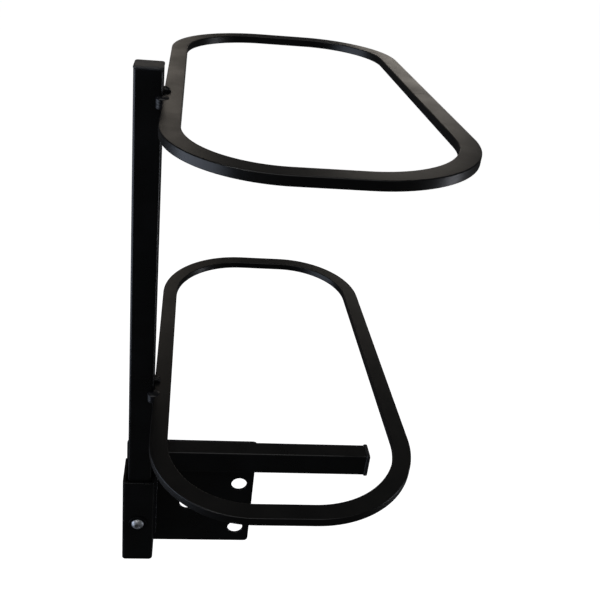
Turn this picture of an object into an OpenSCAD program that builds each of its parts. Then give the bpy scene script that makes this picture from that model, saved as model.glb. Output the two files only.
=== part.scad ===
// Bicycle rack: two flat-bar hoops on a square post, which stands in a bent socket on a drilled plate.
// X runs along the crossbar, Y goes back through the plate, Z is up.
// The origin is the middle of the plate's back face. All sizes are in millimetres.

/* [Plate] */
// Width of the plate along X
plate_w = 146; // [120:1:200]
// Height of the plate
plate_h = 153; // [140:1:200]
// Thickness of the plate
plate_t = 3; // [2:0.5:5]
// Radius of the plate's corners
plate_corner_r = 5; // [1:0.5:12]
// Diameter of each fixing hole
hole_d = 18; // [8:0.5:22]
// From the plate's right edge to the column of two holes
hole_inset = 16.6; // [14:0.1:30]
// From the plate's lower edge to the lower hole
hole_rise = 21.5; // [14:0.5:30]
// Height between the two holes of the column
hole_pitch = 69; // [40:0.5:76]
// From the column of two holes to the third hole
side_hole_gap = 59; // [30:0.5:62]
// From the plate's lower edge to the third hole
side_hole_rise = 59.5; // [30:0.5:75]

/* [Crossbar] */
// Length of the crossbar tube
bar_len = 237; // [150:0.5:300]
// Height of the crossbar tube
bar_h = 27.2; // [20:0.1:33]
// How far the crossbar's top stands above the plate's top
bar_rise = 1.4; // [1:0.1:3]
// Depth of the crossbar tube, front to back
bar_d = 20; // [15:0.1:24]
// Wall of the crossbar tube
bar_wall = 1.6; // [1:0.1:2.5]

/* [Socket] */
// Height of the bent socket
socket_h = 115; // [80:1:124]
// Wall of the bent socket
socket_wall = 3; // [2:0.5:4]
// Outer radius of the socket's two bends
socket_bend_r = 4; // [3.2:0.1:6]
// From the plate's left edge to the socket (negative overhangs)
socket_inset = -1.4; // [-2:0.1:20]
// Height of the screw above the socket's lower edge
screw_rise = 56.5; // [25:0.5:90]

/* [Post] */
// Side of the square post
post_w = 25; // [20:0.1:32]
// Wall of the post
post_wall = 2; // [1:0.1:3]
// Outer radius of the post's corners
post_r = 3; // [2:0.1:4]
// Length of the post
post_len = 565; // [450:0.5:700]
// How far the post's foot reaches below the socket
post_drop = 1; // [0:0.5:10]
// Gap between the post and the socket's left side
left_gap = 2.4; // [0.5:0.1:3]
// Gap between the post and the socket's right side
right_gap = 1; // [0.5:0.1:3]
// Gap between the post and the socket's front wall
front_gap = 0.3; // [0.2:0.1:1]

/* [Hoops] */
// Length of a hoop along X, outside
hoop_x = 250; // [200:1:320]
// Length of a hoop along Y, outside
hoop_y = 470; // [300:1:560]
// Outer radius of a hoop's front left and back right corners
tight_r = 94; // [60:1:110]
// Outer radius of a hoop's front right and back left corners
wide_r = 103; // [60:1:110]
// Width of the flat bar
flat_w = 17; // [12:0.5:25]
// Thickness of the flat bar
flat_t = 8.2; // [4:0.1:10]
// Height between the two hoops
hoop_pitch = 306.8; // [200:0.1:360]
// From the post's top down to the upper hoop's top face
hoop_drop = 22.5; // [15:0.1:60]
// How far the middle of a hoop lies behind the middle of the post
hoop_back = 60.3; // [-80:0.1:80]
// Width and depth of the butt seam in the outer side
seam = 0.4; // [0.2:0.1:1]

/* [Fasteners] */
// Diameter of the screw's thread
screw_d = 8; // [6:1:10]
// Diameter of the screw's round head
head_d = 14; // [12:0.5:18]
// Height of the screw's round head
head_h = 4.4; // [3:0.1:6]
// Width across flats of the screw's hexagon socket
key_af = 5; // [4:0.5:6]
// Outer diameter of the washer under the head
washer_d = 20; // [17:0.5:24]
// Outer diameter of the washer under the nut
nut_washer_d = 16; // [14:0.5:20]
// Thickness of each washer
washer_t = 1.6; // [1:0.1:2]
// Width across flats of the nut
nut_af = 13; // [12:0.5:17]
// Height of the nut
nut_h = 6.5; // [5:0.1:8]
// How far the screw reaches past the nut
screw_past = 2; // [0.5:0.1:3]
// Space left between the screw's tip and the plate
tip_gap = 0.6; // [0.3:0.1:3]

/* [Plugs] */
// Height of a plug's head outside the post
cap_h = 3; // [2:0.5:8]
// How far a plug's head stands out past the post's sides
cap_lip = 0.3; // [0:0.1:1]
// Length of the plug's head outside the crossbar
bar_cap_l = 4.8; // [3:0.1:12]
// How far the plug's head stands out past the crossbar's sides
bar_cap_lip = 1.2; // [0:0.1:2]
// How far a plug reaches into its tube
plug_depth = 16; // [8:1:30]
// Gap between a plug and the inside of its tube
plug_gap = 0.15; // [0.1:0.05:0.4]

/* [Welds] */
// Radius of the beads between hoop and post
bead_r = 6.5; // [3:0.1:8]
// Height of the beads between hoop and post
bead_h = 12; // [8:0.5:18]
// Radius of the rear bead's end, which laps forward over a hoop's top face
lap_r = 7; // [4:0.1:9]
// How far that end laps forward along the post
lap_len = 9.5; // [4:0.5:15]
// Radius of the beads along the socket and crossbar
seam_bead_r = 2.6; // [1.5:0.1:4]

/* [Hidden] */
$fn = 96;
eps = 0.5;
running_gap = 0.05;
clear_gap = 0.5;
head_socket = 2.6;
cap_round = 1.2;

// plate edges
plate_front = -plate_t;
plate_left = -plate_w / 2;
plate_right = plate_w / 2;
plate_low = -plate_h / 2;
plate_high = plate_h / 2;
column_x = plate_right - hole_inset;
low_hole_z = plate_low + hole_rise;
high_hole_z = low_hole_z + hole_pitch;
side_hole_x = column_x - side_hole_gap;
side_hole_z = plate_low + side_hole_rise;

// crossbar, welded to the plate's front along the plate's top
bar_low = plate_high + bar_rise - bar_h;
bar_front = plate_front - bar_d;
bar_r = 2;

// nut, post and socket, stacked forward from the plate's front face
nut_back = plate_front - tip_gap - screw_past;
nut_front = nut_back - nut_h;
post_back = nut_front - washer_t;
post_y = post_back - post_w / 2;
post_front = post_back - post_w;
web_back = post_front - front_gap;
web_front = web_back - socket_wall;
socket_w = post_w + left_gap + right_gap + 2 * socket_wall;
socket_left = plate_left + socket_inset;
socket_x = socket_left + socket_w / 2;
post_x = socket_left + socket_wall + left_gap + post_w / 2;
post_right = post_x + post_w / 2;
socket_high = bar_low - 0.2;
socket_low = socket_high - socket_h;
post_low = socket_low - post_drop;
post_high = post_low + post_len;
screw_z = socket_low + screw_rise;
bar_left = post_right + right_gap;

// hoops, with their long side against the post's right face
upper_top = post_high - hoop_drop;
lower_top = upper_top - hoop_pitch;
hoop_mid_y = post_y + hoop_back;
hoop_mid_x = post_right + hoop_x / 2;

// screw, measured from under its head
under_head = web_front - washer_t;
screw_len = -tip_gap + plate_front - under_head;

// flat rectangle with round corners, centred
module round_rect(l, w, r) {
    square([l - 2 * r, w], center = true);
    square([l, w - 2 * r], center = true);
    for (sx = [-1, 1], sy = [-1, 1])
        translate([sx * (l / 2 - r), sy * (w / 2 - r)]) circle(r);
}

// rectangular tube section, centred
module tube_section(l, w, r, wall) {
    difference() {
        round_rect(l, w, r);
        round_rect(l - 2 * wall, w - 2 * wall, max(r - wall, 0.4));
    }
}

// bore along Y
module y_bore(x, z, r, from, to) {
    translate([x, from, z]) rotate([-90, 0, 0]) cylinder(r = r, h = to - from);
}

// plug for the lower end of an upright tube: a head with rounded edges and a hollow shank above it
module tube_plug(l, w, r, wall, head, lip) {
    in_l = l - 2 * (wall + plug_gap);
    in_w = w - 2 * (wall + plug_gap);
    hull() {
        translate([0, 0, -head + cap_round]) linear_extrude(head - cap_round)
            round_rect(l + 2 * lip, w + 2 * lip, r, $fn = 32);
        translate([0, 0, -head]) linear_extrude(cap_round)
            round_rect(l - 2 * cap_round, w - 2 * cap_round, r, $fn = 32);
    }
    difference() {
        linear_extrude(plug_depth) round_rect(in_l, in_w, 1);
        translate([0, 0, -eps]) linear_extrude(plug_depth + 2 * eps)
            round_rect(in_l - 4, in_w - 4, 0.8);
    }
}

module wall_plate() {
    color("#1d1d1f") difference() {
        rotate([90, 0, 0]) linear_extrude(plate_t) round_rect(plate_w, plate_h, plate_corner_r);
        y_bore(column_x, low_hole_z, hole_d / 2, plate_front - eps, eps);
        y_bore(column_x, high_hole_z, hole_d / 2, plate_front - eps, eps);
        y_bore(side_hole_x, side_hole_z, hole_d / 2, plate_front - eps, eps);
    }
}

// half of a U in plan: a block with its two front corners rounded
module u_block(w, front, back, r) {
    translate([-w / 2, front + r]) square([w, back - front - r]);
    translate([-w / 2 + r, front]) square([w - 2 * r, r + eps]);
    for (s = [-1, 1]) translate([s * (w / 2 - r), front + r]) circle(r);
}

module post_socket() {
    inner_w = socket_w - 2 * socket_wall;
    inner_r = socket_bend_r - socket_wall;
    color("#18181a") difference() {
        translate([socket_x, 0, socket_low]) linear_extrude(socket_h) difference() {
            u_block(socket_w, web_front, plate_front, socket_bend_r);
            u_block(inner_w, web_back, plate_front + eps, inner_r);
        }
        y_bore(socket_x, screw_z, screw_d / 2 + clear_gap, web_front - eps, web_back + eps);
    }
}

module crossbar() {
    color("#1d1d1f") translate([bar_left, bar_front + bar_d / 2, bar_low + bar_h / 2])
        rotate([90, 0, 90]) linear_extrude(bar_len) tube_section(bar_d, bar_h, bar_r, bar_wall);
}

module crossbar_plug() {
    color("#141414") translate([bar_left + bar_len, bar_front + bar_d / 2, bar_low + bar_h / 2])
        rotate([0, -90, 0]) tube_plug(bar_h, bar_d, bar_r, bar_wall, bar_cap_l, bar_cap_lip);
}

module post() {
    color("#17181b") difference() {
        translate([post_x, post_y, post_low]) linear_extrude(post_len)
            tube_section(post_w, post_w, post_r, post_wall);
        y_bore(socket_x, screw_z, screw_d / 2 + clear_gap, post_front - eps, post_back + eps);
    }
}

module post_cap() {
    color("#3a3b3c") translate([post_x, post_y, post_high]) rotate([180, 0, 0])
        tube_plug(post_w, post_w, post_r, post_wall, cap_h, cap_lip);
}

module post_foot_plug() {
    color("#202122") translate([post_x, post_y, post_low])
        tube_plug(post_w, post_w, post_r, post_wall, cap_h, cap_lip);
}

// outline of a hoop, or of what it encloses when inset by the bar's width
module hoop_outline(inset) {
    hull() for (sx = [-1, 1], sy = [-1, 1]) {
        r = sx * sy > 0 ? tight_r : wide_r;
        translate([sx * (hoop_x / 2 - r), sy * (hoop_y / 2 - r)]) circle(r - inset);
    }
}

// one hoop of flat bar, bent flat and butted in the middle of its outer side
module hoop(top) {
    color("#3a3734") difference() {
        translate([hoop_mid_x, hoop_mid_y, top - flat_t]) linear_extrude(flat_t) difference() {
            hoop_outline(0);
            hoop_outline(flat_w);
        }
        seam_box = [seam + eps, seam, flat_t + 2 * eps];
        translate([hoop_mid_x + hoop_x / 2 - seam, hoop_mid_y - seam / 2, top - flat_t - eps])
            cube(seam_box);
    }
}

module upper_hoop() {
    hoop(upper_top);
}

module lower_hoop() {
    hoop(lower_top);
}

// quarter-round bead in the corner between a hoop's outer side and the post, in front (-1) or behind (1)
module hoop_weld(top, side) {
    face = side < 0 ? post_front : post_back;
    box_y = side < 0 ? face - bead_r - eps : face - post_r;
    low = top - flat_t / 2 - bead_h / 2;
    color("#22242c") difference() {
        intersection() {
            translate([post_right, face, low]) cylinder(r = bead_r, h = bead_h);
            translate([post_right - bead_r - eps, box_y, low - eps])
                cube([bead_r + eps, bead_r + eps + post_r, bead_h + 2 * eps]);
        }
        translate([post_x, post_y, low - eps]) linear_extrude(bead_h + 2 * eps)
            round_rect(post_w, post_w, post_r);
    }
}

// the rear bead, whose end laps forward along the post over the hoop's top face
module rear_hoop_weld(top) {
    hoop_weld(top, 1);
    lap_end = post_back + bead_r / 2;
    color("#22242c") intersection() {
        y_bore(post_right, top, lap_r, post_back - lap_len, lap_end);
        translate([post_right, post_back - lap_len - eps, top])
            cube([lap_r + eps, lap_end - post_back + lap_len + 2 * eps, lap_r + eps]);
    }
}

module upper_hoop_front_weld() {
    hoop_weld(upper_top, -1);
}

module upper_hoop_rear_weld() {
    rear_hoop_weld(upper_top);
}

module lower_hoop_front_weld() {
    hoop_weld(lower_top, -1);
}

module lower_hoop_rear_weld() {
    rear_hoop_weld(lower_top);
}

// upright quarter-round bead on the plate's front, in the corner to the right of a socket wall at wall_x
module socket_weld(wall_x) {
    color("#26272c") intersection() {
        translate([wall_x, plate_front, socket_low])
            cylinder(r = seam_bead_r, h = socket_h - 2 * seam_bead_r);
        translate([wall_x, plate_front - seam_bead_r - eps, socket_low - eps])
            cube([seam_bead_r + eps, seam_bead_r + eps, socket_h]);
    }
}

module socket_left_weld() {
    socket_weld(socket_left + socket_wall);
}

module socket_right_weld() {
    socket_weld(socket_left + socket_w);
}

module crossbar_lower_weld() {
    x0 = socket_left + socket_w + seam_bead_r + 1;
    x1 = plate_right - plate_corner_r;
    color("#26272c") intersection() {
        translate([x0, plate_front, bar_low]) rotate([0, 90, 0]) cylinder(r = seam_bead_r, h = x1 - x0);
        translate([x0 - eps, plate_front - seam_bead_r - eps, bar_low - seam_bead_r - eps])
            cube([x1 - x0 + 2 * eps, seam_bead_r + eps, seam_bead_r + eps]);
    }
}

// half-round bead along the plate's top edge, against the crossbar
module crossbar_upper_weld() {
    x0 = bar_left + 4;
    x1 = plate_right - plate_corner_r - 2;
    color("#26272c") difference() {
        translate([x0, plate_front, plate_high]) rotate([0, 90, 0]) cylinder(r = bar_rise, h = x1 - x0);
        translate([x0 - eps, plate_front - 2 * bar_rise, plate_high - 2 * bar_rise])
            cube([x1 - x0 + 2 * eps, 4 * bar_rise, 2 * bar_rise]);
        translate([bar_left - eps, bar_front + bar_d / 2, bar_low + bar_h / 2])
            rotate([90, 0, 90]) linear_extrude(bar_len) round_rect(bar_d, bar_h, bar_r);
    }
}

module socket_screw() {
    dome_r = (head_h * head_h + head_d * head_d / 4) / (2 * head_h);
    color("#b9bcc0") translate([socket_x, under_head, screw_z]) rotate([-90, 0, 0]) {
        translate([0, 0, -eps]) cylinder(d = screw_d, h = screw_len + eps);
        difference() {
            intersection() {
                translate([0, 0, -head_h]) cylinder(d = head_d, h = head_h);
                translate([0, 0, dome_r - head_h]) sphere(dome_r);
            }
            translate([0, 0, -head_h - eps]) cylinder(d = key_af / cos(30), h = head_socket + eps, $fn = 6);
        }
    }
}

// flat washer on the screw's axis, from y = front to y = front + washer_t
module flat_washer(front, d, bore_d) {
    difference() {
        y_bore(socket_x, screw_z, d / 2, front, front + washer_t);
        y_bore(socket_x, screw_z, bore_d / 2, front - eps, front + washer_t + eps);
    }
}

module screw_washer() {
    color("#1c1c1e") flat_washer(under_head, washer_d, screw_d + 2 * running_gap);
}

module nut_washer() {
    color("#9a9da1") flat_washer(post_back, nut_washer_d, screw_d + 0.4);
}

module screw_nut() {
    color("#a9acb0") difference() {
        translate([socket_x, nut_front, screw_z]) rotate([-90, 0, 0])
            cylinder(d = nut_af / cos(30), h = nut_h, $fn = 6);
        y_bore(socket_x, screw_z, screw_d / 2 + running_gap, nut_front - eps, nut_back + eps);
    }
}

wall_plate();
post_socket();
crossbar();
crossbar_plug();
post();
post_cap();
post_foot_plug();
upper_hoop();
lower_hoop();
upper_hoop_front_weld();
upper_hoop_rear_weld();
lower_hoop_front_weld();
lower_hoop_rear_weld();
socket_left_weld();
socket_right_weld();
crossbar_lower_weld();
crossbar_upper_weld();
socket_screw();
screw_washer();
nut_washer();
screw_nut();
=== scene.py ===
# Looks of a bicycle wall rack: two flat-bar hoops on a square post, which stands in a bent socket
# on a drilled plate.
# Lengths are in metres, in the CAD frame: X runs along the crossbar, Y goes back through the plate, Z is up.
import math
import random

import bmesh
import bpy
from mathutils import Matrix, Vector


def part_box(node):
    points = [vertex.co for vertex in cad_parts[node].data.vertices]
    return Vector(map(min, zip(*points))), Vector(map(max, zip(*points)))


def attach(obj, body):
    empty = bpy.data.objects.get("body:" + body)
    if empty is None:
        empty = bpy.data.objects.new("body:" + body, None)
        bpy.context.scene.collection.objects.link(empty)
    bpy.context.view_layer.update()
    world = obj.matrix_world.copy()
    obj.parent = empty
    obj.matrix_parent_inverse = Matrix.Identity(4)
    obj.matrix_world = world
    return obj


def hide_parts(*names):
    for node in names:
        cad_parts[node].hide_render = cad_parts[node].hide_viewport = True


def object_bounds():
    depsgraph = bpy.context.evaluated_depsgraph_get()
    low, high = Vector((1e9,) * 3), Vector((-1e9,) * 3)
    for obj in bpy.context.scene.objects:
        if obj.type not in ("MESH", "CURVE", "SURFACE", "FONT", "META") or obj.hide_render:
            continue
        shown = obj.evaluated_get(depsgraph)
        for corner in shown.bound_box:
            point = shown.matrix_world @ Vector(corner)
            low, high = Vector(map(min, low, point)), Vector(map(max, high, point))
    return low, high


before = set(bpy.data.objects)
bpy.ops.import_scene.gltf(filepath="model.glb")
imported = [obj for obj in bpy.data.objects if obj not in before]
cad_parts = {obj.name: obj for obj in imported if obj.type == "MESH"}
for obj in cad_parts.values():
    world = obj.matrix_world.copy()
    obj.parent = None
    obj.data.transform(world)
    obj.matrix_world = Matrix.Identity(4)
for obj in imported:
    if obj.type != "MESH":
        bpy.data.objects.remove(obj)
cad_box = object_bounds()

MM = 0.001
UP = Vector((0, 0, 1))

# the post's right, back and top
post_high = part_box("post")[1]

# flat bar of the hoops
TIGHT_R = 94 * MM
WIDE_R = 103 * MM
FLAT_W = 17 * MM
FLAT_EDGE_R = 0.9 * MM
SEAM_GAP = 0.7 * MM
SEAM_DEPTH = 0.35 * MM

# coated sheet and tube
SHEET_EDGE_R = 0.5 * MM
TUBE_R = 3 * MM

# plugs: the crown is the dome's share of a head's height
CROWN_SHARE = 0.1
PLUG_EDGE_R = 1.2 * MM
PLUG_GAP = 0.15 * MM
SHANK_CORNER_R = 1 * MM

# screw, nut and washers
SHANK_R = 4 * MM
THREAD_PITCH = 1.25 * MM
THREAD_DEPTH = 0.68 * MM
HEAD_R = 7 * MM
HEAD_H = 4.4 * MM
KEY_AF = 5 * MM
KEY_DEPTH = 2.6 * MM
KEY_CONE = 0.6 * MM
KEY_RING_SHARE = 0.47
HEAD_RIM_H = 0.35 * MM
HEAD_UNDER_R = 0.12 * MM
NUT_AF = 13 * MM
NUT_FACE_SHARE = 0.96
NUT_LEAD = 0.45 * MM
WASHER_EDGE_R = 0.25 * MM

# weld beads: a lap keeps LAP_FLATNESS of its height above the hoop's top
RIPPLE = 2.6 * MM
LAP_R = 5.6 * MM
LAP_FLATNESS = 0.65


# --- mesh tools ---

def kind_of(geom, kind):
    """The parts of one kind in what an operator made."""
    return [part for part in geom if isinstance(part, kind)]


def rounded_outline(width, height, radius, segments):
    """A new mesh with one face: a rectangle with round corners, in XY about the origin."""
    bm = bmesh.new()
    bmesh.ops.create_grid(bm, x_segments=1, y_segments=1, size=0.5)
    bmesh.ops.scale(bm, verts=bm.verts[:], vec=(width, height, 1))
    bmesh.ops.bevel(bm, geom=bm.verts[:], offset=radius, segments=segments, profile=0.5,
                    affect="VERTICES", material=-1)
    return bm


def pull(bm, ring, change):
    """Extrudes a ring of edges, moves its far end by a matrix and returns that far ring."""
    made = bmesh.ops.extrude_edge_only(bm, edges=ring)["geom"]
    new = set(kind_of(made, bmesh.types.BMVert))
    bmesh.ops.transform(bm, matrix=change, verts=list(new))
    return [e for e in kind_of(made, bmesh.types.BMEdge) if e.verts[0] in new and e.verts[1] in new]


def turn(bm, geom, centre, axis, angle, steps, closed=False):
    """Spins geometry about an axis and returns the last ring of edges."""
    made = bmesh.ops.spin(bm, geom=geom, cent=centre, axis=axis, angle=angle, steps=steps,
                          dvec=(0, 0, 0), use_merge=closed, use_duplicate=False)
    return kind_of(made["geom_last"], bmesh.types.BMEdge)


def widened(share, rise):
    """Matrix that scales about the upright axis and then lifts."""
    return Matrix.Translation((0, 0, rise)) @ Matrix.Diagonal((share, share, 1, 1))


def join(bm, other):
    """Adds another mesh to this one."""
    carrier = bpy.data.meshes.new("carrier")
    other.to_mesh(carrier)
    other.free()
    bm.from_mesh(carrier)
    bpy.data.meshes.remove(carrier)


def round_edges(bm, edges, radius, segments):
    """Rounds edges."""
    bmesh.ops.bevel(bm, geom=edges, offset=radius, offset_type="OFFSET", segments=segments, profile=0.5,
                    affect="EDGES", clamp_overlap=True, material=-1)


def sharp_edges(bm, degrees):
    """The edges where two faces meet at more than an angle."""
    limit = math.radians(degrees)
    return [e for e in bm.edges if e.is_manifold and e.calc_face_angle() > limit]


def piece(name, bm, material, nodes, body="rack"):
    """Makes a finished mesh an object that stands for CAD nodes and rides on a body."""
    bmesh.ops.remove_doubles(bm, verts=bm.verts[:], dist=MM / 500)
    bmesh.ops.recalc_face_normals(bm, faces=bm.faces[:])
    for face in bm.faces:
        face.smooth = True
    mesh = bpy.data.meshes.new(name)
    bm.to_mesh(mesh)
    bm.free()
    mesh.materials.append(material)
    obj = bpy.data.objects.new(name, mesh)
    bpy.context.scene.collection.objects.link(obj)
    shading = obj.modifiers.new("flat_faces_stay_flat", "WEIGHTED_NORMAL")
    shading.mode = "FACE_AREA"
    shading.weight = 50
    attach(obj, body)
    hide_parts(*nodes)
    return obj


# --- materials ---

def srgb(code):
    """An sRGB hex colour as linear RGBA."""
    parts = [int(code[i:i + 2], 16) / 255 for i in (1, 3, 5)]
    return [c / 12.92 if c <= 0.04045 else ((c + 0.055) / 1.055) ** 2.4 for c in parts] + [1]


def add(tree, kind, inputs, **settings):
    """Adds a shader node: settings are its own options, and inputs are values or other nodes' outputs."""
    node = tree.nodes.new("ShaderNode" + kind)
    for key, value in settings.items():
        setattr(node, key, value)
    for key, value in inputs.items():
        if isinstance(value, bpy.types.NodeSocket):
            tree.links.new(value, node.inputs[key])
        else:
            node.inputs[key].default_value = value
    return node


def new_material(name):
    """A material with only its output, and its node tree."""
    material = bpy.data.materials.new(name)
    material.use_nodes = True
    material.node_tree.nodes.clear()
    return material, material.node_tree


def powder_coat(name, dark, light, satin, peel_depth):
    """Polyester powder coat, sprayed on steel and baked: black and satin, with a fine orange peel that
    breaks up its highlights, a film of uneven thickness, and a smoother line where it draws thin on edges.
    The edges are painted paler and bluish: partly the thinner film, partly a painted highlight."""
    material, tree = new_material(name)
    place = add(tree, "TexCoord", {}).outputs["Object"]
    peel = add(tree, "TexNoise", {"Vector": place, "Scale": 1 / (2.2 * MM), "Detail": 2, "Roughness": 0.45})
    pores = add(tree, "TexNoise", {"Vector": place, "Scale": 1 / (0.7 * MM), "Detail": 1})
    film = add(tree, "TexNoise", {"Vector": place, "Scale": 1 / (38 * MM), "Detail": 4, "Roughness": 0.6})
    edge_normal = add(tree, "Bevel", {"Radius": 0.9 * MM}, samples=4).outputs[0]
    flat_normal = add(tree, "NewGeometry", {}).outputs["Normal"]
    facing = add(tree, "VectorMath", {0: edge_normal, 1: flat_normal},
                 operation="DOT_PRODUCT").outputs["Value"]
    edge = add(tree, "MapRange", {"Value": facing, "From Min": 0.98, "From Max": 0.8,
                                 "To Min": 0, "To Max": 0.6})
    shade = add(tree, "MapRange", {"Value": film.outputs[0], "From Min": 0.35, "From Max": 0.65,
                                   "To Min": 0, "To Max": 1})
    body_colour = add(tree, "Mix", {0: shade.outputs[0], 6: srgb(dark), 7: srgb(light)}, data_type="RGBA")
    # painted highlight, partly thin film: edges are mixed towards a pale bluish grey
    thin_film_and_highlight_colour = add(tree, "Mix", {0: edge.outputs[0], 6: body_colour.outputs[2], 7: srgb("#2a2c31")},
                      data_type="RGBA")
    film_satin = add(tree, "MapRange", {"Value": film.outputs[0], "From Min": 0.3, "From Max": 0.7,
                                        "To Min": satin - 0.05, "To Max": satin + 0.05})
    pore_satin = add(tree, "Math", {0: pores.outputs[0], 1: 0.08, 2: film_satin.outputs[0]},
                     operation="MULTIPLY_ADD")
    edge_satin = add(tree, "Math", {0: edge.outputs[0], 1: -0.12, 2: pore_satin.outputs[0]},
                     operation="MULTIPLY_ADD")
    relief = add(tree, "Math", {0: pores.outputs[0], 1: 0.25, 2: peel.outputs[0]}, operation="MULTIPLY_ADD")
    bump = add(tree, "Bump", {"Height": relief.outputs[0], "Strength": 1, "Distance": peel_depth})
    surface = add(tree, "BsdfPrincipled", {"Base Color": thin_film_and_highlight_colour.outputs[2], "Metallic": 0,
                                           "Roughness": edge_satin.outputs[0], "IOR": 1.5,
                                           "Normal": bump.outputs[0]})
    add(tree, "OutputMaterial", {"Surface": surface.outputs[0]})
    return material


def moulded_polyethylene(name, dark, light):
    """Injection-moulded polyethylene, dark grey with a soft paler bloom and a fine spark-eroded grain.
    The grain is drawn at 0.6 mm, about twice its real size, so that it shows."""
    material, tree = new_material(name)
    place = add(tree, "TexCoord", {}).outputs["Object"]
    grain = add(tree, "TexNoise", {"Vector": place, "Scale": 1 / (0.6 * MM), "Detail": 3, "Roughness": 0.6})
    cells = add(tree, "TexVoronoi", {"Vector": place, "Scale": 1 / (0.9 * MM)}, feature="SMOOTH_F1")
    bloom = add(tree, "TexNoise", {"Vector": place, "Scale": 1 / (9 * MM), "Detail": 4, "Roughness": 0.65})
    bloom_amount = add(tree, "MapRange", {"Value": bloom.outputs[0], "From Min": 0.35, "From Max": 0.7,
                                          "To Min": 0, "To Max": 1})
    colour = add(tree, "Mix", {0: bloom_amount.outputs[0], 6: srgb(dark), 7: srgb(light)}, data_type="RGBA")
    rough = add(tree, "MapRange", {"Value": bloom.outputs[0], "From Min": 0.3, "From Max": 0.7,
                                   "To Min": 0.46, "To Max": 0.62})
    relief = add(tree, "Math", {0: cells.outputs[0], 1: 0.5, 2: grain.outputs[0]}, operation="MULTIPLY_ADD")
    bump = add(tree, "Bump", {"Height": relief.outputs[0], "Strength": 1, "Distance": 0.05 * MM})
    surface = add(tree, "BsdfPrincipled", {"Base Color": colour.outputs[2], "Metallic": 0,
                                           "Roughness": rough.outputs[0], "IOR": 1.51,
                                           "Normal": bump.outputs[0]})
    add(tree, "OutputMaterial", {"Surface": surface.outputs[0]})
    return material


def plated_steel(name, bright, dull, smooth, rough, metallic):
    """Steel with a thin plated or chemical finish: tumbled and dipped, so it is blotchy in gloss over a few
    millimetres, with fine random handling scratches, and painted shade darkens it where it is deeply hollow."""
    material, tree = new_material(name)
    place = add(tree, "TexCoord", {}).outputs["Object"]
    blotch = add(tree, "TexNoise", {"Vector": place, "Scale": 1 / (3 * MM), "Detail": 5, "Roughness": 0.6})
    amount = add(tree, "MapRange", {"Value": blotch.outputs[0], "From Min": 0.35, "From Max": 0.65,
                                    "To Min": 0, "To Max": 1})
    stretched = add(tree, "Mapping", {"Vector": place, "Rotation": (0.4, 0.9, 0.3), "Scale": (1, 1, 12)})
    scratch = add(tree, "TexNoise", {"Vector": stretched.outputs[0], "Scale": 1 / (2 * MM), "Detail": 3})
    metal = add(tree, "Mix", {0: amount.outputs[0], 6: srgb(bright), 7: srgb(dull)}, data_type="RGBA")
    # painted shade: where ambient occlusion finds a deep hollow, the colour turns near black
    openness = add(tree, "AmbientOcclusion", {"Distance": 2.5 * MM}, samples=8).outputs["AO"]
    unshaded_share = add(tree, "MapRange", {"Value": openness, "From Min": 0.5, "From Max": 0.95,
                                  "To Min": 0, "To Max": 1})
    colour = add(tree, "Mix", {0: unshaded_share.outputs[0], 6: srgb("#141312"), 7: metal.outputs[2]},
                 data_type="RGBA")
    gloss = add(tree, "MapRange", {"Value": blotch.outputs[0], "From Min": 0.3, "From Max": 0.7,
                                   "To Min": smooth, "To Max": rough})
    bump = add(tree, "Bump", {"Height": scratch.outputs[0], "Strength": 1, "Distance": 0.02 * MM})
    surface = add(tree, "BsdfPrincipled", {"Base Color": colour.outputs[2], "Metallic": metallic,
                                           "Roughness": gloss.outputs[0], "Normal": bump.outputs[0]})
    add(tree, "OutputMaterial", {"Surface": surface.outputs[0]})
    return material


# --- coated steel: plate, socket, tubes ---

def eased_steel(name, node, material):
    """A CAD part's own shape with its cut edges rounded over, as they are once deburred and coated."""
    bm = bmesh.new()
    bm.from_mesh(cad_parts[node].data)
    bmesh.ops.remove_doubles(bm, verts=bm.verts[:], dist=MM / 500)
    bmesh.ops.dissolve_limit(bm, angle_limit=math.radians(1), verts=bm.verts[:], edges=bm.edges[:])
    round_edges(bm, sharp_edges(bm, 30), SHEET_EDGE_R, 3)
    return piece(name, bm, material, [node])


# --- hoops ---

def flat_hoop(name, node, material):
    """Flat bar bent to a hoop: its section is carried round the path, from the butt seam back to the seam."""
    low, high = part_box(node)
    middle = (low + high) / 2
    thick = high.z - low.z
    bm = rounded_outline(FLAT_W, thick, FLAT_EDGE_R, 4)
    stand = Matrix.Rotation(math.pi / 2, 4, "X")
    start = Vector((high.x - FLAT_W / 2, middle.y + SEAM_GAP / 2, middle.z))
    bmesh.ops.transform(bm, matrix=Matrix.Translation(start) @ stand, verts=bm.verts[:])
    ring = bm.edges[:]
    bmesh.ops.delete(bm, geom=bm.faces[:], context="FACES_ONLY")
    corners = [(Vector((high.x, high.y, 0)), TIGHT_R), (Vector((low.x, high.y, 0)), WIDE_R),
               (Vector((low.x, low.y, 0)), TIGHT_R), (Vector((high.x, low.y, 0)), WIDE_R)]
    heading, done = Vector((0, 1, 0)), start.copy()
    for corner, radius in corners:
        aside = heading.cross(UP) * -1
        run = (corner - done).dot(heading) - radius
        ring = pull(bm, ring, Matrix.Translation(heading * run))
        done += heading * run
        centre = done + aside * (radius - FLAT_W / 2)
        ring = turn(bm, ring, centre, UP, math.pi / 2, 32)
        done = centre + heading * (radius - FLAT_W / 2)
        heading = aside
    last_run = middle.y - SEAM_GAP / 2 - done.y
    ring = pull(bm, ring, Matrix.Translation((0, last_run, 0)))
    seam_centre = Vector((start.x, middle.y, middle.z))
    shrink = Matrix.Diagonal((1 - 2 * SEAM_DEPTH / FLAT_W, 0, 1 - 2 * SEAM_DEPTH / thick, 1))
    about_seam = Matrix.Translation(seam_centre) @ shrink @ Matrix.Translation(-seam_centre)
    ring = pull(bm, ring, about_seam)
    first = [e for e in bm.edges if e.is_boundary and all(abs(v.co.y - start.y) < MM / 100 for v in e.verts)]
    bmesh.ops.bridge_loops(bm, edges=ring + first)
    return piece(name, bm, material, [node])


# --- moulded plugs ---

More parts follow.
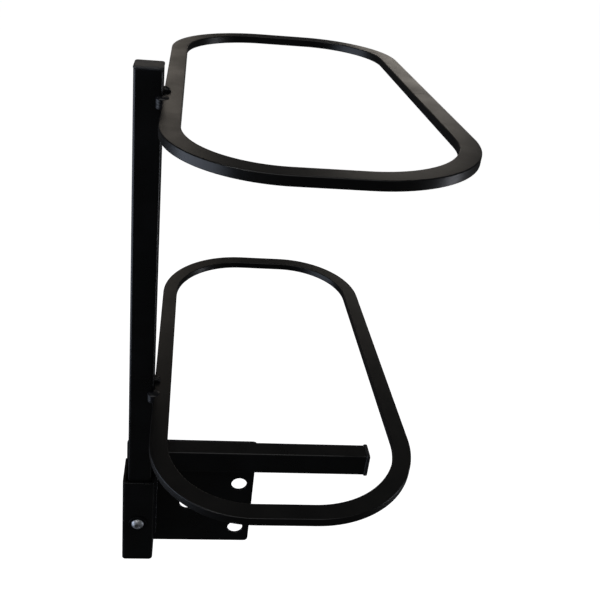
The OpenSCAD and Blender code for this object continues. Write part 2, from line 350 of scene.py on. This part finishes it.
def end_plug(name, node, tube, turned, wall, material):
    """Plug for a rectangular tube: a softly domed head with round edges, and a hollow shank inside the tube.
    turned is the rotation that takes an upward-facing plug to this one."""
    low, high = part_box(node)
    tube_low, tube_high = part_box(tube)
    out = turned @ UP
    size = Vector(map(abs, turned.inverted() @ (high - low)))
    tube_size = Vector(map(abs, turned.inverted() @ (tube_high - tube_low)))
    tube_end = (tube_low + tube_high) / 2 + out * tube_size.z / 2
    head_h = ((high if sum(out) > 0 else low) - tube_end).dot(out)
    crown = CROWN_SHARE * head_h
    head = rounded_outline(size.x, size.y, TUBE_R, 6)
    ring = pull(head, head.edges[:], Matrix.Translation((0, 0, head_h - crown)))
    bmesh.ops.contextual_create(head, geom=ring)
    round_edges(head, sharp_edges(head, 60), min(PLUG_EDGE_R, 0.42 * head_h), 5)
    top = max(head.faces, key=lambda f: f.calc_center_median().z)
    ring = top.edges[:]
    bmesh.ops.delete(head, geom=[top], context="FACES_ONLY")
    for share, rise in ((0.85, 0.5), (0.6, 0.35), (0.3, 0.15)):
        ring = pull(head, ring, widened(share, rise * crown))
    bmesh.ops.contextual_create(head, geom=ring)
    gap = 2 * (wall + PLUG_GAP)
    shank = rounded_outline(tube_size.x - gap, tube_size.y - gap, SHANK_CORNER_R, 3)
    bmesh.ops.translate(shank, verts=shank.verts[:], vec=(0, 0, 0.5 * MM))
    ring = shank.edges[:]
    for share, rise in ((1, -15.5), (0.96, -1), (0.8, 0), (0.98, 15)):
        ring = pull(shank, ring, widened(share, rise * MM))
    bmesh.ops.contextual_create(shank, geom=ring)
    join(head, shank)
    bmesh.ops.transform(head, matrix=Matrix.Translation(tube_end) @ turned.to_4x4(), verts=head.verts[:])
    return piece(name, head, material, [node])


# --- screw, nut and washers, made upright and then laid with their top towards the front ---

def laid(centre_of, y):
    """Matrix that lays an upright fastener on the screw's axis, with its foot at one depth."""
    low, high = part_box(centre_of)
    middle = (low + high) / 2
    return Matrix.Translation((middle.x, y, middle.z)) @ Matrix.Rotation(math.pi / 2, 4, "X")


def divided_hexagon(bm, across_flats, z, cuts):
    """A hexagon of edges, each cut so that it can be bridged to a circle."""
    made = bmesh.ops.create_circle(bm, cap_ends=False, segments=6,
                                   radius=across_flats / 2 / math.cos(math.pi / 6))
    bmesh.ops.translate(bm, verts=made["verts"], vec=(0, 0, z))
    edges = list({e for v in made["verts"] for e in v.link_edges})
    cut = bmesh.ops.subdivide_edges(bm, edges=edges, cuts=cuts)
    return list(set(edges) | set(kind_of(cut["geom"], bmesh.types.BMEdge)))


def circle(bm, radius, z, segments):
    """A circle of edges."""
    made = bmesh.ops.create_circle(bm, cap_ends=False, segments=segments, radius=radius)
    bmesh.ops.translate(bm, verts=made["verts"], vec=(0, 0, z))
    return list({e for v in made["verts"] for e in v.link_edges})


def button_head():
    """Domed head with a hexagon socket: flat ring round the socket, dome, short rim and flat underside."""
    bm = bmesh.new()
    dome_r = (HEAD_H ** 2 + HEAD_R ** 2) / (2 * HEAD_H)
    ring_r = KEY_RING_SHARE * HEAD_R
    ring_z = math.sqrt(dome_r ** 2 - ring_r ** 2) + HEAD_H - dome_r
    key = divided_hexagon(bm, KEY_AF, ring_z - 0.15 * MM, 7)
    top = circle(bm, ring_r, ring_z, 48)
    bmesh.ops.bridge_loops(bm, edges=key + top)
    floor_ring = pull(bm, key, Matrix.Translation((0, 0, -KEY_DEPTH)))
    floor = bmesh.ops.contextual_create(bm, geom=floor_ring)["faces"]
    bmesh.ops.poke(bm, faces=floor, offset=-KEY_CONE)
    slope = math.asin(ring_r / dome_r)
    last = math.acos(1 - (HEAD_H - HEAD_RIM_H) / dome_r)
    ring, r_now, z_now = top, ring_r, ring_z
    for i in range(1, 13):
        angle = slope + (last - slope) * i / 12
        r_next = min(dome_r * math.sin(angle), HEAD_R)
        z_next = dome_r * math.cos(angle) + HEAD_H - dome_r
        ring = pull(bm, ring, widened(r_next / r_now, z_next - z_now))
        r_now, z_now = r_next, z_next
    ring = pull(bm, ring, widened(HEAD_R / r_now, HEAD_UNDER_R - z_now))
    ring = pull(bm, ring, widened(0.98, -HEAD_UNDER_R))
    bmesh.ops.contextual_create(bm, geom=ring)
    return bm


def threaded_shank(length):
    """Right-hand thread cut the whole way, from just inside the head down to a chamfered tip."""
    bm = bmesh.new()
    root = SHANK_R - THREAD_DEPTH
    turns = math.ceil(length / THREAD_PITCH) + 2
    profile = [(root, 0), (SHANK_R, 0.38), (SHANK_R, 0.52), (root, 0.9), (root, 1)]
    points = [bm.verts.new((r, 0, (share + 1) * THREAD_PITCH)) for r, share in profile]
    for a, b in zip(points, points[1:]):
        bm.edges.new((a, b))
    bmesh.ops.spin(bm, geom=bm.verts[:] + bm.edges[:], cent=(0, 0, 0), axis=-UP, angle=2 * math.pi * turns,
                   dvec=-UP * THREAD_PITCH / 24, steps=24 * turns, use_merge=False, use_duplicate=False)
    bmesh.ops.remove_doubles(bm, verts=bm.verts[:], dist=MM / 100)
    for z, way in ((0.6 * MM, UP), (-length, -UP)):
        bmesh.ops.bisect_plane(bm, geom=bm.verts[:] + bm.edges[:] + bm.faces[:], dist=MM / 1000,
                               plane_co=(0, 0, z), plane_no=way, clear_outer=True)
        rim = [e for e in bm.edges if e.is_boundary and all(abs(v.co.z - z) < MM / 100 for v in e.verts)]
        bmesh.ops.contextual_create(bm, geom=rim)
    for v in bm.verts:
        allowed = 0.8 * root + v.co.z + length
        if v.co.xy.length > allowed:
            v.co.xy = v.co.xy.normalized() * allowed
    return bm


def socket_head_screw(material):
    """The cross screw, with its head at the front."""
    low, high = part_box("socket_screw")
    under_head = low.y + HEAD_H
    bm = button_head()
    join(bm, threaded_shank(high.y - under_head))
    bmesh.ops.transform(bm, matrix=laid("socket_screw", under_head), verts=bm.verts[:])
    return piece("button_head_screw", bm, material, ["socket_screw"], "screw")


def flat_washer(name, node, material, body):
    """Stamped washer: its rounded section is spun about the screw's axis."""
    low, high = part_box(node)
    outer, thick = (high.x - low.x) / 2, high.y - low.y
    bore = SHANK_R + 0.05 * MM if body == "washer_carrier" else SHANK_R + 0.2 * MM
    bm = rounded_outline(outer - bore, thick, WASHER_EDGE_R, 3)
    stand = Matrix.Translation(((outer + bore) / 2, 0, thick / 2)) @ Matrix.Rotation(math.pi / 2, 4, "X")
    bmesh.ops.transform(bm, matrix=stand, verts=bm.verts[:])
    ring = bm.edges[:]
    bmesh.ops.delete(bm, geom=bm.faces[:], context="FACES_ONLY")
    turn(bm, ring, (0, 0, 0), UP, 2 * math.pi, 72, closed=True)
    bmesh.ops.transform(bm, matrix=laid(node, high.y), verts=bm.verts[:])
    return piece(name, bm, material, [node], body)


def hexagon_nut(material):
    """Hexagon nut with both faces chamfered and its bore countersunk: the front half is made and mirrored."""
    low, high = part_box("screw_nut")
    half = (high.y - low.y) / 2
    face_r = NUT_FACE_SHARE * NUT_AF / 2
    bm = bmesh.new()
    sides = divided_hexagon(bm, NUT_AF, 0, 7)
    edge = pull(bm, sides, Matrix.Translation((0, 0, half)))
    for v in {v for e in edge for v in e.verts}:
        v.co.z -= max(0, v.co.xy.length - face_r) * math.tan(math.pi / 6)
    ring = circle(bm, face_r, half, 48)
    bmesh.ops.bridge_loops(bm, edges=edge + ring)
    bore = SHANK_R + 0.05 * MM
    lead = bore + NUT_LEAD
    ring = pull(bm, ring, widened(lead / face_r, 0))
    ring = pull(bm, ring, widened(bore / lead, -NUT_LEAD))
    pull(bm, ring, widened(1, NUT_LEAD - half))
    bmesh.ops.mirror(bm, geom=bm.verts[:] + bm.edges[:] + bm.faces[:], matrix=Matrix.Identity(4),
                     merge_dist=MM / 100, axis="Z")
    bmesh.ops.transform(bm, matrix=laid("screw_nut", (low.y + high.y) / 2), verts=bm.verts[:])
    return piece("hexagon_nut", bm, material, ["screw_nut"])


# --- weld beads ---

def bead_mesh(path, radius, seed, relief=0.12, end_share=0.5, lean=Vector((0, 0, 0))):
    """A weld bead laid along a path: ripples that overlap like coins, a little uneven, with round ends.
    relief is the ripples' depth and end_share the length of an end, as shares of the radius, and lean is
    how far the ends draw aside from the path, so that they die away into the corner."""
    steps = [(b - a).length for a, b in zip(path, path[1:])]
    total = sum(steps)
    count = max(10, round(total / RIPPLE * 5))
    uneven = random.Random(seed)
    wobble = [(uneven.uniform(-1, 1), uneven.uniform(-1, 1), uneven.uniform(0.96, 1.03))
              for _ in range(count + 2)]
    bm = bmesh.new()
    bmesh.ops.create_circle(bm, cap_ends=True, segments=20, radius=1)
    front, last = bm.faces[:], Matrix.Identity(4)
    for i in range(count + 1):
        done = total * i / count
        place, way = along(path, steps, done)
        from_end = min(done, total - done)
        round_end = math.sqrt(max(0.02, 1 - (1 - min(1, from_end / (end_share * radius))) ** 2))
        ripple = 1 - relief + relief * math.sin(math.pi * (done / RIPPLE % 1)) ** 0.5
        dx, dy, grow = wobble[int(done / RIPPLE)]
        size = radius * round_end * ripple * grow
        aside = lean * (1 - round_end) + Vector((dx, dy, 0)) * 0.02 * radius
        here = (Matrix.Translation(place + aside) @ way.to_track_quat("Z", "Y").to_matrix().to_4x4()
                @ Matrix.Diagonal((size, size, 1, 1)))
        if i:
            made = bmesh.ops.extrude_face_region(bm, geom=front)["geom"]
            bmesh.ops.delete(bm, geom=[f for f in front if i > 1], context="FACES_ONLY")
            front = kind_of(made, bmesh.types.BMFace)
            verts = kind_of(made, bmesh.types.BMVert)
        else:
            verts = bm.verts[:]
        bmesh.ops.transform(bm, matrix=here @ last.inverted(), verts=verts)
        last = here
    return bm


def along(path, steps, done):
    """The point and direction at a distance along a path."""
    for start, end, step in zip(path, path[1:], steps):
        if done <= step or end is path[-1]:
            return start.lerp(end, min(1, done / step)), (end - start).normalized()
        done -= step


def smooth_path(points, rounds=4):
    """A path with its corners cut again and again until it runs as a curve."""
    for _ in range(rounds):
        cut = [points[0]]
        for a, b in zip(points, points[1:]):
            cut += [a.lerp(b, 0.25), a.lerp(b, 0.75)]
        points = cut + [points[-1]]
    return points


def hoop_front_bead(name, node, material, seed):
    """Upright bead in the corner between a hoop's side and the post's front."""
    low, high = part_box(node)
    radius = high.x - low.x
    corner = Vector((high.x, low.y + radius, 0))
    path = [corner + UP * (low.z + 0.3 * MM), corner + UP * (high.z - 0.3 * MM)]
    bm = bead_mesh(path, radius * 0.98, seed, relief=0.05, end_share=0.3,
                   lean=Vector((-0.5, -0.1, 0)) * radius)
    return piece(name, bm, material, [node])


def hoop_rear_bead(name, node, hoop, material, seed):
    """Bead up the corner between a hoop's side and the post's back. It laps forward over the hoop's top."""
    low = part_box(node)[0]
    side, top, back = post_high.x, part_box(hoop)[1].z, post_high.y
    path = smooth_path([Vector((side + 0.6 * MM, low.y + 1.2 * MM, top + 0.5 * MM)),
                        Vector((side + 0.4 * MM, back - 2 * MM, top + 0.8 * MM)),
                        Vector((side - 0.2 * MM, back + 0.6 * MM, top - 0.5 * MM)),
                        Vector((side - 0.4 * MM, back + 0.8 * MM, low.z + 1 * MM))])
    bm = bead_mesh(path, LAP_R, seed, relief=0.22)
    for v in bm.verts:
        if v.co.z > top:
            v.co.z = top + LAP_FLATNESS * (v.co.z - top)
    return piece(name, bm, material, [node])


def seam_bead(name, node, corner, axis, radius, material, seed):
    """Long straight bead laid in the corner between the plate and what stands on it."""
    low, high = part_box(node)
    start, end = corner.copy(), corner.copy()
    start[axis], end[axis] = low[axis], high[axis]
    bm = bead_mesh([start, end], radius, seed)
    return piece(name, bm, material, [node])


# --- the assembly ---

coat = powder_coat("satin_black_powder_coat", "#090a0b", "#0e0f11", 0.26, 0.025 * MM)
hoop_coat = powder_coat("satin_black_powder_coat_on_hoops", "#0b0b0c", "#101010", 0.3, 0.025 * MM)
# the coat over welds is the body's powder coat, painted lighter and bluish as a painted highlight on the
# beads
weld_coat_painted_lighter = powder_coat("powder_coat_over_weld_painted_lighter", "#101116", "#17181e", 0.3, 0.02 * MM)
# one plastic in two copies: the cap and foot plugs' copy is painted lighter as if lit, the crossbar plug's
# copy darker as painted shade
plastic_painted_as_lit = moulded_polyethylene("moulded_polyethylene_painted_as_lit", "#3a3b3d", "#47484a")
plastic_painted_as_shaded = moulded_polyethylene("moulded_polyethylene_painted_as_shaded", "#232426", "#303133")
zinc = plated_steel("zinc_plated_steel", "#dfe2e5", "#bcc1c6", 0.34, 0.5, 0.75)
black_oxide = plated_steel("black_oxide_steel", "#1c1d20", "#121315", 0.38, 0.55, 0.6)

eased_steel("drilled_plate", "wall_plate", coat)
eased_steel("bent_socket", "post_socket", coat)
eased_steel("square_post_tube", "post", coat)
eased_steel("crossbar_tube", "crossbar", coat)
flat_hoop("upper_flat_bar_hoop", "upper_hoop", hoop_coat)
flat_hoop("lower_flat_bar_hoop", "lower_hoop", hoop_coat)

end_plug("post_cap_plug", "post_cap", "post", Matrix.Identity(3), 2 * MM, plastic_painted_as_lit)
end_plug("post_foot_end_plug", "post_foot_plug", "post", Matrix.Rotation(math.pi, 3, "X"), 2 * MM,
         plastic_painted_as_lit)
end_plug("crossbar_end_plug", "crossbar_plug", "crossbar", Matrix.Rotation(math.pi / 2, 3, "Y"), 1.6 * MM,
         plastic_painted_as_shaded)

socket_head_screw(zinc)
flat_washer("black_flat_washer", "screw_washer", black_oxide, "washer_carrier")
flat_washer("zinc_flat_washer", "nut_washer", zinc, "rack")
hexagon_nut(zinc)

hoop_front_bead("upper_front_weld_bead", "upper_hoop_front_weld", weld_coat_painted_lighter, 3)
hoop_front_bead("lower_front_weld_bead", "lower_hoop_front_weld", weld_coat_painted_lighter, 8)
hoop_rear_bead("upper_rear_weld_bead", "upper_hoop_rear_weld", "upper_hoop", weld_coat_painted_lighter, 5)
hoop_rear_bead("lower_rear_weld_bead", "lower_hoop_rear_weld", "lower_hoop", weld_coat_painted_lighter, 6)

for side, seed in (("left", 11), ("right", 12)):
    low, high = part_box(f"socket_{side}_weld")
    seam_bead(f"socket_{side}_weld_bead", f"socket_{side}_weld", Vector((low.x, high.y, 0)), 2,
              0.96 * (high.x - low.x), weld_coat_painted_lighter, seed)
low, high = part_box("crossbar_lower_weld")
seam_bead("crossbar_lower_weld_bead", "crossbar_lower_weld", Vector((0, high.y, high.z)), 0,
          0.96 * (high.z - low.z), weld_coat_painted_lighter, 13)
low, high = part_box("crossbar_upper_weld")
seam_bead("crossbar_upper_weld_bead", "crossbar_upper_weld",
          Vector((0, high.y - 0.7 * MM, high.z - 1.25 * MM)), 0, 1.2 * MM, weld_coat_painted_lighter, 14)


# --- camera, floor and light ---

def camera():
    """Looks down at the rack from in front, a little to the left of the hoops' middle."""
    data = bpy.data.cameras.new("camera")
    data.lens, data.sensor_width = 44.74, 36
    data.shift_x, data.shift_y = 0.0767, -0.1
    data.clip_start, data.clip_end = 0.01, 100
    obj = bpy.data.objects.new("camera", data)
    bpy.context.scene.collection.objects.link(obj)
    yaw, pitch, roll = math.radians(5.847), math.radians(26.072), math.radians(5.352)
    obj.matrix_world = (Matrix.Translation((-0.01944, -0.65274, 0.65104)) @ Matrix.Rotation(-yaw, 4, "Z")
                        @ Matrix.Rotation(math.pi / 2 - pitch, 4, "X") @ Matrix.Rotation(roll, 4, "Z"))
    bpy.context.scene.camera = obj


def pale_floor():
    """Plain pale floor well below the rack. It neither lights the coat nor shades it."""
    material, tree = new_material("pale_painted_floor")
    place = add(tree, "TexCoord", {}).outputs["Object"]
    mottle = add(tree, "TexNoise", {"Vector": place, "Scale": 3, "Detail": 3})
    colour = add(tree, "Mix", {0: mottle.outputs[0], 6: srgb("#f4f4f3"), 7: srgb("#fafafa")},
                 data_type="RGBA")
    surface = add(tree, "BsdfPrincipled", {"Base Color": colour.outputs[2], "Roughness": 0.9,
                                           "Emission Color": srgb("#ffffff"), "Emission Strength": 0.96})
    add(tree, "OutputMaterial", {"Surface": surface.outputs[0]})
    bm = bmesh.new()
    bmesh.ops.create_grid(bm, x_segments=1, y_segments=1, size=15)
    bmesh.ops.translate(bm, verts=bm.verts[:], vec=(0, 0, cad_box[0].z - 0.9))
    mesh = bpy.data.meshes.new("floor")
    bm.to_mesh(mesh)
    bm.free()
    mesh.materials.append(material)
    obj = bpy.data.objects.new("floor", mesh)
    bpy.context.scene.collection.objects.link(obj)
    obj.visible_glossy = False
    obj.visible_diffuse = False
    obj.visible_shadow = False


def softbox(name, place, target, width, height, radiance, colour):
    """A soft rectangular light that faces a point."""
    data = bpy.data.lights.new(name, "AREA")
    data.shape, data.size, data.size_y = "RECTANGLE", width, height
    data.energy = radiance * math.pi * width * height
    data.color = srgb(colour)[:3]
    obj = bpy.data.objects.new(name, data)
    bpy.context.scene.collection.objects.link(obj)
    obj.location = place
    obj.rotation_euler = (Vector(place) - Vector(target)).to_track_quat("Z", "Y").to_euler()
    obj.visible_camera = False


def studio():
    """Even white surroundings for the eye, dim ones for reflections, and softboxes behind, in front, at both
    sides and above."""
    world = bpy.data.worlds.new("studio")
    bpy.context.scene.world = world
    world.use_nodes = True
    tree = world.node_tree
    tree.nodes.clear()
    way = add(tree, "TexCoord", {}).outputs["Generated"]
    height = add(tree, "SeparateXYZ", {0: way}).outputs["Z"]
    glow = add(tree, "MapRange", {"Value": height, "From Min": -0.2, "From Max": 0.9,
                                 "To Min": 0.028, "To Max": 0.055})
    seen = add(tree, "LightPath", {}).outputs["Is Camera Ray"]
    strength = add(tree, "Mix", {0: seen, 2: glow.outputs[0], 3: 1.0}, data_type="FLOAT")
    light = add(tree, "Background", {"Color": srgb("#ffffff"), "Strength": strength.outputs[0]})
    add(tree, "OutputWorld", {"Surface": light.outputs[0]})
    middle = (cad_box[0] + cad_box[1]) / 2
    softbox("back_left_softbox", (-0.35, 2.7, 1.35), middle, 0.7, 1.0, 0.6, "#fff3e4")
    softbox("back_right_softbox", (1.0, 2.7, 0.95), middle, 0.6, 0.5, 1.6, "#fff6ea")
    softbox("left_softbox", (-1.8, -0.25, -0.25), middle, 2.0, 1.4, 1.6, "#dfeaff")
    softbox("key_softbox", (-1.0, -1.2, 1.6), middle, 0.35, 0.35, 12.0, "#ffffff")
    softbox("right_softbox", (2.1, -0.1, -0.35), middle, 0.3, 1.3, 4.0, "#f3f6ff")
    softbox("top_softbox", (0.1, -0.7, 2.4), middle, 1.6, 1.6, 1.0, "#ffffff")
    bpy.context.scene.view_settings.view_transform = "Standard"


camera()
pale_floor()
studio()
